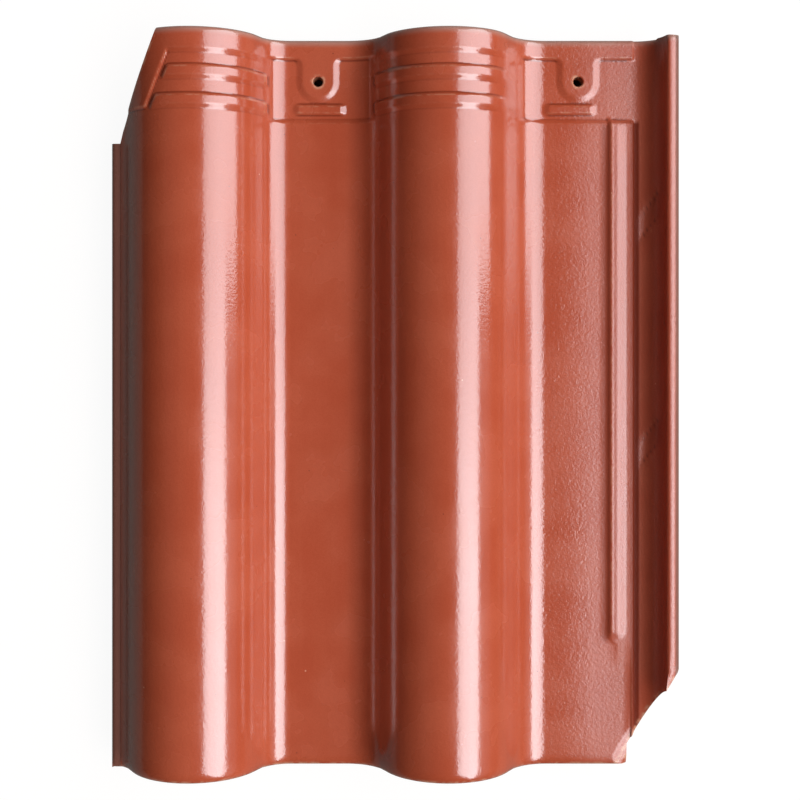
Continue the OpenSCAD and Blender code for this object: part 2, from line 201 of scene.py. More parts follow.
def setup_camera():
    """Camera straight above the tile, where the photograph was taken"""
    picture = 800
    pan_view = picture / 1.8125 * MM
    sensor = 36
    height = 0.742
    bpy.ops.object.camera_add(location=(0.0033, 0.0317, height + PAN_Z * MM), rotation=(0, 0, 0))
    camera = bpy.context.object
    camera.name = "photo_camera"
    camera.data.sensor_fit = "HORIZONTAL"
    camera.data.sensor_width = sensor
    camera.data.lens = sensor * height / pan_view
    camera.data.shift_y = -55 / picture
    camera.data.clip_start = 0.01
    bpy.context.scene.camera = camera


def setup_world():
    """Dim warm room around the tile, white where the camera looks past it"""
    scene = bpy.context.scene
    scene.view_settings.view_transform = "Standard"
    world = bpy.data.worlds.new("studio")
    scene.world = world
    world.use_nodes = True
    nodes = world.node_tree.nodes
    links = world.node_tree.links
    room = nodes["Background"]
    room.inputs["Color"].default_value = (1.0, 0.8, 0.7, 1)
    room.inputs["Strength"].default_value = 0.02
    seen = nodes.new("ShaderNodeLightPath")
    white = nodes.new("ShaderNodeBackground")
    white.inputs["Color"].default_value = (1.0, 1.0, 1.0, 1)
    mix = nodes.new("ShaderNodeMixShader")
    links.new(seen.outputs["Is Camera Ray"], mix.inputs[0])
    links.new(room.outputs[0], mix.inputs[1])
    links.new(white.outputs[0], mix.inputs[2])
    links.new(mix.outputs[0], nodes["World Output"].inputs["Surface"])


def setup_light():
    """Tall window on the right, brighter toward the tail, and a faint glow from above"""
    window_x = 2.0
    columns = ((0.17, 2.9, 4.1), (-0.2, 0.17, 4.9), (-0.42, -0.2, 6.0), (-3.0, -0.42, 7.0))
    panes = ((0.685, 1.59, 1.1), (1.59, 2.75, 1.1), (2.75, 4.4, 1.0), (4.4, 6.7, 0.85))
    shaded = 0.25
    for first, last, level in columns:
        for low, high, share in panes:
            bpy.ops.object.light_add(type="AREA", rotation=(0, math.pi / 2, 0),
                                     location=(window_x, (first + last) / 2, (low + high) / 2))
            pane = bpy.context.object
            pane.name = "right_window"
            pane.data.shape = "RECTANGLE"
            pane.data.size = high - low
            pane.data.size_y = last - first
            bright = level * share if low > 1 or first > 0 else shaded
            pane.data.energy = bright * math.pi * pane.data.size * pane.data.size_y
            pane.data.color = (0.96, 1.0, 1.05)
    bpy.ops.object.light_add(type="AREA", location=(-1.3, 0, 2.2), rotation=(0, 0, 0))
    glow = bpy.context.object
    glow.name = "ceiling_glow"
    glow.data.shape = "SQUARE"
    glow.data.size = 2.2
    glow.data.energy = 0.6


def setup_floor():
    """Pale paper that looks white around the tile and keeps the tile's shadow"""
    bpy.ops.mesh.primitive_plane_add(size=6, location=(0, 0, 0))
    floor = bpy.context.object
    floor.name = "floor"
    paper = bpy.data.materials.new("pale_paper")
    paper.use_nodes = True
    nodes = paper.node_tree.nodes
    links = paper.node_tree.links

    def maths(operation, first, second, third=None):
        node = nodes.new("ShaderNodeMath")
        node.operation = operation
        for socket, value in zip(node.inputs, (first, second, third)):
            if isinstance(value, bpy.types.NodeSocket):
                links.new(value, socket)
            elif value is not None:
                socket.default_value = value
        return node.outputs[0]

    shader = nodes["Principled BSDF"]
    shader.inputs["Base Color"].default_value = (0.18, 0.15, 0.13, 1)
    shader.inputs["Roughness"].default_value = 0.9
    shader.inputs["Specular IOR Level"].default_value = 0.0
    place = nodes.new("ShaderNodeTexCoord")
    size = nodes.new("ShaderNodeVectorMath")
    size.operation = "ABSOLUTE"
    split = nodes.new("ShaderNodeSeparateXYZ")
    links.new(place.outputs["Object"], size.inputs[0])
    links.new(size.outputs[0], split.inputs[0])
    under_tile = (("X", 0.122), ("Y", 0.198))
    fade_w = 0.012
    fades = []
    for axis, edge in under_tile:
        fade = nodes.new("ShaderNodeMapRange")
        fade.inputs["From Min"].default_value = edge - fade_w
        fade.inputs["From Max"].default_value = edge
        links.new(split.outputs[axis], fade.inputs["Value"])
        fades.append(fade.outputs["Result"])
    open_floor = maths("MAXIMUM", *fades)
    path = nodes.new("ShaderNodeLightPath")
    mirrored = maths("MAXIMUM", path.outputs["Is Glossy Ray"], path.outputs["Is Transmission Ray"])
    mirrored_share = 0.02
    seen = maths("MULTIPLY_ADD", mirrored, mirrored_share, path.outputs["Is Camera Ray"])
    white_share = 0.6
    share = maths("MULTIPLY", maths("MULTIPLY", seen, open_floor), white_share)
    white = nodes.new("ShaderNodeEmission")
    white.inputs["Strength"].default_value = 1.57
    mix = nodes.new("ShaderNodeMixShader")
    links.new(share, mix.inputs[0])
    links.new(shader.outputs[0], mix.inputs[1])
    links.new(white.outputs[0], mix.inputs[2])
    links.new(mix.outputs[0], nodes["Material Output"].inputs["Surface"])
    floor.data.materials.append(paper)


# The weather face by place, in mm

def clamp(share):
    return min(1.0, max(0.0, share))


def wall(inside, width):
    """Share of a soft wall's height at a distance inside its middle line"""
    steps = (-0.16, -0.08, 0.0, 0.08, 0.16)
    return sum(min(1.0, max(0.0, inside / width + 0.5 + s)) for s in steps) / len(steps)


def roll_height(across, half_w=ROLL_HALF_W, foot_r=FOOT_R, flank=FLANK_A):
    """Height of a roll above the pans: crest arc, straight flank and foot arc"""
    across = abs(across)
    crest_span = CREST_R * math.sin(flank)
    if across < crest_span:
        return math.sqrt(CREST_R ** 2 - across ** 2) + CREST_Z
    if across < half_w - foot_r * math.sin(flank):
        return CREST_R * math.cos(flank) - (across - crest_span) * math.tan(flank) + CREST_Z
    if across < half_w:
        return foot_r - math.sqrt(foot_r ** 2 - (half_w - across) ** 2)
    return 0.0


def face_height(x):
    """Height of the plain weather face above the pans"""
    if x < FLANGE_X:
        return FLANGE_Z
    if CREST_X[0] < x < CREST_X[1] - ROLL_HALF_W:
        return roll_height(x - CREST_X[0], TIGHT_HALF_W, TIGHT_FOOT_R, TIGHT_A)
    if x < STRIP_X:
        return max(roll_height(x - CREST_X[0]), roll_height(x - CREST_X[1]))
    if x < CHANNEL_X:
        return -CHANNEL_DROP * (x - STRIP_X) / CHANNEL_STEP_W
    if x < LIP_X:
        return CHANNEL_Z - math.sqrt(CHANNEL_R ** 2 - (x - CHANNEL_X) ** 2)
    return LIP_H


def on_weather_face(x, z):
    if x > LIP_X - 1:
        return z > LIP_FACE_Z
    return abs(z - face_height(x)) < FACE_SLACK


def face_tilt(x):
    """Length of the weather face for each mm across it"""
    rise = (face_height(x + 0.2) - face_height(x - 0.2)) / 0.4
    return math.hypot(1, rise)


def corner_line_x(y, inset):
    """Place across the tile of the head corner's line, moved in by inset"""
    step = inset * math.hypot(1, CORNER_SLOPE) / CORNER_SLOPE
    return HEAD_CUT_W - HALF_W + step - (HALF_L - y) / CORNER_SLOPE


def collar_height(x, y):
    """Height of the collars and of the border along the head corner"""
    best = 0.0
    for side, crest in enumerate(CREST_X):
        across = x - crest
        fade = wall(COLLAR_FADE - across, COLLAR_FADE_W) if side == 1 else 1.0
        reach = wall(COLLAR_END - abs(across), WALL_W) * fade
        head = wall(COLLAR_END - HEAD_COLLAR_INSET - abs(across), COLLAR_FADE_W) * fade
        best = max(best, RELIEF_H * head * wall(y - HEAD_COLLAR_Y, SOFT_WALL_W))
        for low, high in COLLAR_Y:
            band = wall(y - low - COLLAR_SETBACK, SOFT_WALL_W) * wall(high - y, WALL_W)
            if side == 0:
                band *= wall(x - corner_line_x(y, BORDER_W + DRAIN_W), WALL_W)
            best = max(best, RELIEF_H * reach * band)
    edge = wall(corner_line_x(y, BORDER_W) - x, WALL_W) * wall(y - BORDER_FOOT_Y, WALL_W)
    return max(best, RELIEF_H * edge)


def bar_height(x, y):
    """Height of the water bar, with a fine rim on its steep side"""
    left = wall(x - BAR_X + BAR_SHIFT - BAR_STEEP_W / 2, BAR_STEEP_RUN)
    right = wall(STRIP_X - STRIP_W - BAR_SHIFT - BAR_GENTLE_W / 2 - x, BAR_GENTLE_RUN)
    middle = x - BAR_X - BAR_STEEP_W - BAR_TOP_W / 2
    inner = wall(x - BAR_X - BAR_STEEP_W - BAR_RIM_W / 2 + BAR_SHIFT, BAR_RIM_W)
    rim = BAR_RIM_H * (1 - inner)
    head = wall(BAR_HEAD_Y - BAR_HEAD_SLANT * middle - y, BAR_END_L)
    tail = wall(y - BAR_TAIL_Y - BAR_TAIL_ROUND * middle ** 2, BAR_END_L)
    return (BAR_H - BAR_RIM_H + rim) * left * right * head * tail


def raised(x, y):
    """Height of the collars, the border, the water bar and the strip above the plain face"""
    best = collar_height(x, y) if y > RELIEF_FOOT_Y else 0.0
    if BAR_X - 2 < x < STRIP_X:
        best = max(best, bar_height(x, y))
        rise = STRIP_RISE * clamp(1 - (STRIP_X - x) / STRIP_W)
        best += rise * wall(BAR_HEAD_Y - 4 - y, STRIP_FADE_L)
    return best


def panel_depth(x, y):
    """Depth of a sunk head panel, with its tab and its stop bar left standing"""
    side = 0 if x < CREST_X[1] else 1
    inside = wall(x - CREST_X[side] - COLLAR_REACH, PANEL_SIDE_W)
    if side == 0:
        inside *= wall(CREST_X[1] - COLLAR_REACH - x, PANEL_SIDE_W)
    else:
        out = clamp((x - BAR_X) / (STRIP_X - BAR_X))
        inside *= 1 + (CHANNEL_DROP / RELIEF_H - 1) * out
        inside *= clamp((CHANNEL_X - x) / CHANNEL_STEP_W)
    inside *= wall(PANEL_HEAD_Y - y, WALL_W) * wall(y - PANEL_FOOT_Y, PANEL_RUN)
    across = abs(x - HOLE_X[side])
    if y < HOLE_Y:
        tab = wall(TAB_R - math.hypot(across, y - HOLE_Y), TAB_WALL_W)
    else:
        flare = max(0.0, y - PANEL_HEAD_Y + TAB_FLARE_L)
        tab = wall(TAB_R + TAB_FLARE * flare ** 2 - across, TAB_WALL_W)
    stop = wall(STOP_HALF_L - abs(x - STOP_X[side]), TAB_WALL_W)
    stop *= wall(y - STOP_Y[0], WALL_W) * wall(STOP_Y[1] - y, WALL_W)
    return RELIEF_H * inside * (1 - max(tab, stop))


def groove_depth(x, y):
    """Depth of the slanted grooves in the channel's wall"""
    depth = 0.0
    for middle in GROOVE_Y:
        off = abs(y - middle - (x - CHANNEL_X) * GROOVE_SLANT)
        depth = max(depth, GROOVE_D * wall(GROOVE_W / 2 - off, GROOVE_WALL_W))
    inner, outer = GROOVE_FADE_W
    depth *= clamp((x - CHANNEL_X - GROOVE_INSET) / inner) * wall(LIP_X - GROOVE_INSET - x, outer)
    return depth


def dish_depth(x, y):
    """Depth of the shallow dish in the right pan, deepest beside the water bar"""
    past, turn = DISH_TURN
    end = BAR_X - BAR_SHIFT + (STRIP_X - BAR_X) * wall(BAR_TAIL_Y - past - y, turn)
    out = (x - DISH_X) / DISH_RUN
    dish = max(0.0, out) ** 2 if out < 1 else 2 - max(0.0, 2 - out) ** 2
    dish *= clamp((end - x) / DISH_SIDE_W) ** 0.5
    head, tail = DISH_INSET
    dish *= DISH_D
    return dish * wall(PANEL_FOOT_Y - head - y, DISH_FADE_L) * wall(y + HALF_L - tail, DISH_FADE_L)


def sunk(x, y):
    """Depth of the panels, the grooves and the dish below the plain face"""
    depth = 0.0
    if y > RELIEF_FOOT_Y and x < CHANNEL_X:
        depth = panel_depth(x, y)
    elif CHANNEL_X - 1 < x < LIP_X + 1:
        depth = groove_depth(x, y)
    if DISH_X < x < STRIP_X and y < PANEL_FOOT_Y:
        depth += dish_depth(x, y)
    return depth


def edge_drop(x, y, z):
    """Drop of the weather face in the rounding of the head and tail edges"""
    drop = 0.0
    if HALF_L - y < HEAD_EDGE_R:
        out = HEAD_EDGE_R - (HALF_L - y)
        drop = HEAD_EDGE_R - math.sqrt(max(0.0, HEAD_EDGE_R ** 2 - out ** 2))
    elif HALF_L + y < TAIL_EDGE_L:
        out = 1 - (HALF_L + y) / TAIL_EDGE_L
        drop = TAIL_EDGE_D * (1 - math.sqrt(max(0.0, 1 - out ** 2)))
    if x > LIP_X - LIP_TOP_D:
        return min(drop, LIP_EDGE_D) * wall(z - LIP_H + LIP_TOP_D, LIP_TOP_D)
    if x < FLANGE_X:
        return min(drop, FLANGE_T - FLANGE_LEAST_T)
    if STRIP_X - 1 < x < CHANNEL_X + 1:
        return drop
    return max(drop * min(face_tilt(x), EDGE_TILT_MOST), tail_bevel(x, y))


def tail_bevel(x, y):
    """Drop of the strip beyond the slanted line at the end of the tail edge"""
    side = HALF_W - TAIL_CUT_W
    length = math.hypot(TAIL_BEVEL_L, TAIL_BEVEL_W)
    width = TAIL_BEVEL_L * TAIL_BEVEL_W / length
    out = ((x - side) * TAIL_BEVEL_L - (y + HALF_L - TAIL_BEVEL_L) * TAIL_BEVEL_W) / length
    if not BAR_X - 2 < x < STRIP_X - 0.5 or y > TAIL_BEVEL_L + 2 - HALF_L or out < 0:
        return 0.0
    out = min(1.0, out / width)
    first, rest = TAIL_BEVEL_H
    start, run = TAIL_BEVEL_TURN
    return first * out + rest * max(0.0, (out - start) / run) ** 1.5


# Modelling

def start_point(name, x, y, z):
    """New piece that is one point, to be drawn out by extruding"""
    bpy.ops.object.select_all(action="DESELECT")
    bpy.ops.mesh.primitive_plane_add(size=MM, location=(0, 0, 0))
    piece = bpy.context.object
    piece.name = name
    bpy.ops.object.mode_set(mode="EDIT")
    bpy.ops.mesh.select_mode(type="VERT")
    bpy.ops.mesh.select_all(action="SELECT")
    bpy.ops.mesh.merge(type="CENTER")
    bpy.ops.transform.translate(value=(x * MM, y * MM, (z + PAN_Z) * MM))
    return piece


def extrude(x, y, z):
    """Draws what is selected out by a move in mm"""
    move = (x * MM, y * MM, z * MM)
    bpy.ops.mesh.extrude_region_move(TRANSFORM_OT_translate={"value": move})


def close_mesh():
    """Turns all faces outward and leaves edit mode"""
    bpy.ops.mesh.select_all(action="SELECT")
    bpy.ops.mesh.normals_make_consistent(inside=False)
    bpy.ops.object.mode_set(mode="OBJECT")


class Pen:
    """Draws a section in the plane of the head edge, from where the last stroke ended"""

    def __init__(self, x, z):
        self.x, self.z = x, z

    def line(self, x, z, steps=1):
        for _ in range(steps):
            extrude((x - self.x) / steps, 0, (z - self.z) / steps)
        self.x, self.z = x, z

    def arc(self, middle_x, middle_z, turn, steps):
        middle = (middle_x * MM, HALF_L * MM, (middle_z + PAN_Z) * MM)
        bpy.ops.mesh.spin(steps=steps, angle=turn, center=middle, axis=(0, 1, 0))
        dx, dz = self.x - middle_x, self.z - middle_z
        self.x = middle_x + dx * math.cos(turn) - dz * math.sin(turn)
        self.z = middle_z + dx * math.sin(turn) + dz * math.cos(turn)


def draw_roll(pen, crest, radii, turn, foot_steps, flank_steps, crest_steps):
    """Foot, flank and crest, and down again, from the left or from the right"""
    crest_r, foot_r = radii
    toward = 1 if turn > 0 else -1
    crest_span = crest_r * math.sin(FLANK_A)
    foot_x = ROLL_HALF_W - foot_r * math.sin(FLANK_A)
    foot_z = FOOT_R - foot_r * math.cos(FLANK_A)
    pen.arc(crest - toward * ROLL_HALF_W, FOOT_R, turn, foot_steps)
    pen.line(crest - toward * crest_span, CREST_Z + crest_r * math.cos(FLANK_A), flank_steps)
    pen.arc(crest, CREST_Z, -2 * turn, crest_steps)
    pen.line(crest + toward * foot_x, foot_z, flank_steps)
    pen.arc(crest + toward * ROLL_HALF_W, FOOT_R, turn, foot_steps)


def draw_weather_face(pen):
    """Line of the face from the flange over the rolls and the side lock to the lip's side"""
    left, right = CREST_X
    pen.line(-HALF_W, FLANGE_Z - FLANGE_EDGE_R)
    pen.arc(-HALF_W + FLANGE_EDGE_R, FLANGE_Z - FLANGE_EDGE_R, -math.pi / 2, 3)
    pen.line(FLANGE_X, FLANGE_Z, 2)
    pen.arc(left - ROLL_HALF_W, FOOT_R, FLANK_A - FLANGE_A, 5)
    pen.line(left - CREST_SPAN, CREST_Z + CREST_R * math.cos(FLANK_A), 4)
    pen.arc(left, CREST_Z, -FLANK_A, 50)
    pen.arc(left, CREST_Z, -TIGHT_A, 22)
    foot_x = left + TIGHT_HALF_W
    pen.line(foot_x - TIGHT_FOOT_R * math.sin(TIGHT_A), TIGHT_FOOT_R * (1 - math.cos(TIGHT_A)), 4)
    pen.arc(foot_x, TIGHT_FOOT_R, TIGHT_A, 30)
    pen.line(right - ROLL_HALF_W, 0, 50)
    draw_roll(pen, right, (CREST_R, FOOT_R), FLANK_A, 30, 4, 44)
    pen.line(BAR_X - 1, 0, 60)
    pen.line(STRIP_X, 0, 29)
    pen.line(CHANNEL_X, -CHANNEL_DROP, 3)
    pen.arc(CHANNEL_X, CHANNEL_Z, CHANNEL_ANGLE, 24)
    round_z = LIP_H - LIP_INNER_R
    touch_z = round_z + LIP_INNER_R * math.cos(CHANNEL_ANGLE)
    touch_x = pen.x + (touch_z - pen.z) / math.tan(CHANNEL_ANGLE)
    pen.line(touch_x, touch_z, 2)
    pen.arc(touch_x + LIP_INNER_R * math.sin(CHANNEL_ANGLE), round_z, -CHANNEL_ANGLE, 6)
    pen.line(HALF_W - LIP_OUTER_R, LIP_H)
    pen.arc(HALF_W - LIP_OUTER_R, LIP_H - LIP_OUTER_R, -math.pi / 2, 9)


def draw_underside(pen, flange_low_z):
    """Line back along the underside, below the lip, the pans and the rolls to the flange"""
    left, right = CREST_X
    under_r = CHANNEL_R + CLAY_T
    edge_a = math.asin((HALF_W - CHANNEL_X) / under_r)
    pen.line(HALF_W, CHANNEL_Z - under_r * math.cos(edge_a), 2)
    pen.arc(CHANNEL_X, CHANNEL_Z, -edge_a, 12)
    pen.line(BAR_X, -CLAY_T, 3)
    pen.line(right + ROLL_HALF_W, -CLAY_T, 4)
    draw_roll(pen, right, (CREST_R - CLAY_T, FOOT_R + CLAY_T), -FLANK_A, 10, 2, 16)
    pen.line(left + TIGHT_HALF_W, -CLAY_T, 4)
    pen.arc(left + TIGHT_HALF_W, TIGHT_FOOT_R, -TIGHT_A, 9)
    inner_r = CREST_R - CLAY_T
    pen.line(left + inner_r * math.sin(TIGHT_A), CREST_Z + inner_r * math.cos(TIGHT_A), 2)
    pen.arc(left, CREST_Z, TIGHT_A + FLANK_A, 16)
    drop = pen.z - flange_low_z
    pen.line(pen.x - drop / math.tan(FLANK_A), flange_low_z, 3)
    pen.line(-HALF_W, flange_low_z, 3)


def draw_section():
    """Closed section of the clay at the head edge"""
    flange_low_z = FLANGE_Z - FLANGE_T
    piece = start_point("glazed_roof_tile", -HALF_W, HALF_L, flange_low_z)
    pen = Pen(-HALF_W, flange_low_z)
    draw_weather_face(pen)
    draw_underside(pen, flange_low_z)
    bpy.ops.mesh.select_all(action="SELECT")
    bpy.ops.mesh.remove_doubles(threshold=0.00002)
    return piece


def row_places():
    """Places of the rows along the tile, close where the relief is"""
    rows = [HALF_L - HEAD_EDGE_R * (1 - math.cos(math.radians(a))) for a in range(0, 91, 18)]
    stretches = (
        (191.5, 2), (151, 0.62),
        (GROOVE_Y[0] + 31, 9), (GROOVE_Y[0] - 8.5, 2.4),
        (GROOVE_Y[1] + 31, 10), (GROOVE_Y[1] - 8.5, 2.4),
        (BAR_TAIL_Y + 4, 10), (BAR_TAIL_Y - 5, 0.9),
        (TAIL_CUT_L - HALF_L, 10), (TAIL_CUT_L - HALF_L - 16, 2.6),
        (TAIL_BEVEL_L + 2 - HALF_L, 10), (TAIL_EDGE_L - HALF_L, 0.9))
    for end, step in stretches:
        first = rows[-1]
        count = max(1, round((first - end) / step))
        rows.extend(first + (end - first) * (i + 1) / count for i in range(count))
    rows.extend(TAIL_EDGE_L * math.cos(math.radians(a)) * -1 + TAIL_EDGE_L - HALF_L
                for a in (79, 68, 57, 46, 35, 23, 11, 0))
    return rows


def select_points(piece, wanted):
    """Selects the points of a piece by their place, in mm from the pans"""
    bpy.ops.object.mode_set(mode="EDIT")
    bpy.ops.mesh.select_mode(type="VERT")
    bpy.ops.mesh.select_all(action="DESELECT")
    bpy.ops.object.mode_set(mode="OBJECT")
    for point in piece.data.vertices:
        x, y, z = point.co
        point.select = wanted(x / MM, y / MM, z / MM - PAN_Z)
    bpy.ops.object.mode_set(mode="EDIT")


def press_relief(piece):
    """Raises and sinks the weather face by weights, as the press does"""
    depths = {"raised": BAR_H, "sunk": RELIEF_H,
              "edge_drop": 3 * TAIL_EDGE_L, "sunk_level": 2 * RELIEF_H}
    groups = {name: piece.vertex_groups.new(name=name) for name in depths}
    for point in piece.data.vertices:
        x, y, z = (c / MM for c in point.co)
        z -= PAN_Z
        if not on_weather_face(x, z):
            continue
        sink = "sunk_level" if y > RELIEF_FOOT_Y and x > BAR_X - 8 else "sunk"
        moves = (("raised", raised(x, y)), (sink, sunk(x, y)), ("edge_drop", edge_drop(x, y, z)))
        for name, depth in moves:
            if depth > 0:
                groups[name].add([point.index], min(1.0, depth / depths[name]), "REPLACE")
    for name, depth in depths.items():
        press = piece.modifiers.new(name, "DISPLACE")
        press.vertex_group = name
        press.mid_level = 0
        press.direction = "Z" if name in ("edge_drop", "sunk_level") else "NORMAL"
        press.strength = depth * MM * (1 if name == "raised" else -1)
        bpy.ops.object.modifier_apply(modifier=name)
    piece.vertex_groups.clear()


def block(name, outline, low_z, high_z):
    """Upright block over an outline in plan"""
    piece = start_point(name, outline[0][0], outline[0][1], low_z)
    for (x0, y0), (x1, y1) in zip(outline, outline[1:]):
        extrude(x1 - x0, y1 - y0, 0)
    bpy.ops.mesh.select_all(action="SELECT")
    bpy.ops.mesh.edge_face_add()
    extrude(0, 0, high_z - low_z)
    close_mesh()
    return piece


def wedge(name, start, end, z, width, depth):
    """Cutter that slopes down on the left of the line between two points"""
    length = math.dist(start, end)
    along = ((end[0] - start[0]) / length, (end[1] - start[1]) / length)
    aside = (-along[1], along[0])
    corners = ((-OVERRUN * width / depth, OVERRUN), (width * 2, -depth * 2), (width * 2, OVERRUN))
    u0, h0 = corners[0]
    piece = start_point(name, start[0] + aside[0] * u0, start[1] + aside[1] * u0, z + h0)
    for (u0, h0), (u1, h1) in zip(corners, corners[1:]):
        extrude(aside[0] * (u1 - u0), aside[1] * (u1 - u0), h1 - h0)
    bpy.ops.mesh.select_all(action="SELECT")
    bpy.ops.mesh.edge_face_add()
    run = length + OVERRUN
    extrude(along[0] * run, along[1] * run, 0)
    close_mesh()
    return piece


def hole_cutter(x):
    """Round pin with a small flare where it leaves the weather face"""
    depth = CLAY_T + OVERRUN
    middle_z = PAN_Z - HOLE_FLARE_D - depth / 2
    bpy.ops.object.select_all(action="DESELECT")
    bpy.ops.mesh.primitive_cylinder_add(
        vertices=48, radius=HOLE_R * MM, depth=depth * MM, end_fill_type="NGON",
        location=(x * MM, HOLE_Y * MM, middle_z * MM))
    pin = bpy.context.object
    pin.name = "nail_pin"
    bpy.ops.object.transform_apply(location=True, rotation=True, scale=True)
    select_points(pin, lambda px, py, pz: pz > -HOLE_FLARE_D - 0.1)
    extrude(0, 0, HOLE_FLARE_D)
    bpy.ops.transform.resize(value=(HOLE_FLARE, HOLE_FLARE, 1),
                             center_override=(x * MM, HOLE_Y * MM, PAN_Z * MM))
    extrude(0, 0, OVERRUN)
    close_mesh()
    return pin


def hanging_nib(x, tail_y):
    """Nib or foot with drafted sides, its bearing face toward the tail"""
    top_z = OVERRUN - CLAY_T
    low_z = -CLAY_T - NIB_H
    rise = NIB_DRAFT * OVERRUN / NIB_H
    half = NIB_W / 2 + rise
    head_y = tail_y + NIB_L + rise
    outline = ((x - half, tail_y), (x + half, tail_y), (x + half, head_y), (x - half, head_y))
    nib = block("hanging_nib", outline, low_z, top_z)
    select_points(nib, lambda px, py, pz: pz < low_z + 1)
    share = (1 - (rise + NIB_DRAFT) / half, 1 - (rise + NIB_DRAFT) / (NIB_L + rise), 1)
    bpy.ops.transform.resize(value=share, center_override=(x * MM, tail_y * MM, 0))
    bpy.ops.mesh.bevel(offset=NIB_EDGE_R * MM, segments=3, affect="EDGES")
    close_mesh()
    return nib


def combine(piece, others, operation):
    """Joins or cuts a piece with others, which are used up"""
    for other in others:
        bpy.ops.object.select_all(action="DESELECT")
        bpy.context.view_layer.objects.active = piece
        change = piece.modifiers.new("change", "BOOLEAN")
        change.operation = operation
        change.solver = "MANIFOLD"
        change.object = other
        bpy.ops.object.modifier_apply(modifier="change")
        bpy.ops.object.select_all(action="DESELECT")
        other.select_set(True)
        bpy.ops.object.delete()
    bpy.context.view_layer.objects.active = piece
    piece.select_set(True)


def head_corner():
    """Cutter for the slanted head corner and the head end of the flange"""
    side = -HALF_W - OVERRUN
    cut_x = HEAD_CUT_W - HALF_W
    flange_y = HALF_L - FLANGE_FROM_HEAD
    outline = ((side, HALF_L + OVERRUN), (cut_x, HALF_L + OVERRUN), (cut_x, HALF_L),
               (HEAD_CUT_INSET - HALF_W, HALF_L - HEAD_CUT_L), (FLANGE_X, flange_y),
               (side, flange_y))
    return block("head_corner", outline, -CLAY_T - 2 * OVERRUN, ROLL_H + 2 * OVERRUN)


def tail_corner():
    """Cutter for the notch in the tail, below the side lock"""
    side = HALF_W + OVERRUN
    inner = HALF_W - TAIL_CUT_W
    cut_y = TAIL_CUT_L - HALF_L
    outline = ((side, cut_y), (HALF_W, cut_y), (inner, TAIL_CUT_STRAIGHT - HALF_L),
               (inner, -HALF_L - OVERRUN), (side, -HALF_L - OVERRUN))
    return block("tail_corner", outline, -CLAY_T - 2 * OVERRUN, ROLL_H)


def lip_bevel():
    """Cutter for the bevel on the tail end of the lip"""
    run = (-TAIL_CUT_W, TAIL_CUT_STRAIGHT - TAIL_CUT_L)
    along = (run[0] / math.hypot(*run), run[1] / math.hypot(*run))
    width, depth = LIP_BEVEL
    start = (HALF_W + width * along[1], TAIL_CUT_L - HALF_L - width * along[0])
    end = (start[0] + along[0] * LIP_W * 2, start[1] + along[1] * LIP_W * 2)
    return wedge("lip_bevel", start, end, LIP_H, width, depth)


def mark_glaze(piece):
    """Notes on each point whether the glaze reaches it, and whether it runs thin or pools there"""
    reached = piece.data.attributes.new("glaze", "FLOAT", "POINT")
    pooled = piece.data.attributes.new("pool", "FLOAT", "POINT")
    near = 0.8
    full_bend = 0.6
    relief_y = 148

    def relief(x, y):
        return raised(x, y) - sunk(x, y)

    for point in piece.data.vertices:
        x, y, z = (c / MM for c in point.co)
        z -= PAN_Z
        if x > LIP_X - 1:
            reached.data[point.index].value = 1.0 if z > LIP_FACE_Z else 0.0
            continue
        if z < max(face_height(x) - CLAY_T * 0.7, 1 - CLAY_T):
            continue
        reached.data[point.index].value = 1.0
        if y > relief_y and x < STRIP_X - 3 or x > BAR_X - 3 and y < relief_y:
            bend = (relief(x + near, y) + relief(x - near, y)
                    + relief(x, y + near) + relief(x, y - near) - 4 * relief(x, y))
            pooled.data[point.index].value = max(-1.0, min(1.0, bend / full_bend))


def model_tile():
    """The tile: its section drawn out along the rows, pressed, joined with its nibs and cut"""
    piece = draw_section()
    rows = row_places()
    bpy.ops.mesh.select_all(action="SELECT")
    for here, there in zip(rows, rows[1:]):
        extrude(0, there - here, 0)
    close_mesh()
    press_relief(piece)
    for end in (HALF_L, -HALF_L):
        select_points(piece, lambda x, y, z: abs(y - end) < 0.01)
        bpy.ops.mesh.edge_face_add()
        bpy.ops.object.mode_set(mode="OBJECT")
    bpy.ops.object.mode_set(mode="EDIT")
    close_mesh()
    combine(piece, [hanging_nib(x, y) for x in NIB_X for y in NIB_Y], "UNION")
    cutters = [head_corner(), tail_corner(), lip_bevel()]
    combine(piece, cutters + [hole_cutter(x) for x in HOLE_X], "DIFFERENCE")
    bpy.ops.object.shade_smooth_by_angle(angle=SMOOTH_ANGLE)
    mark_glaze(piece)
    return piece


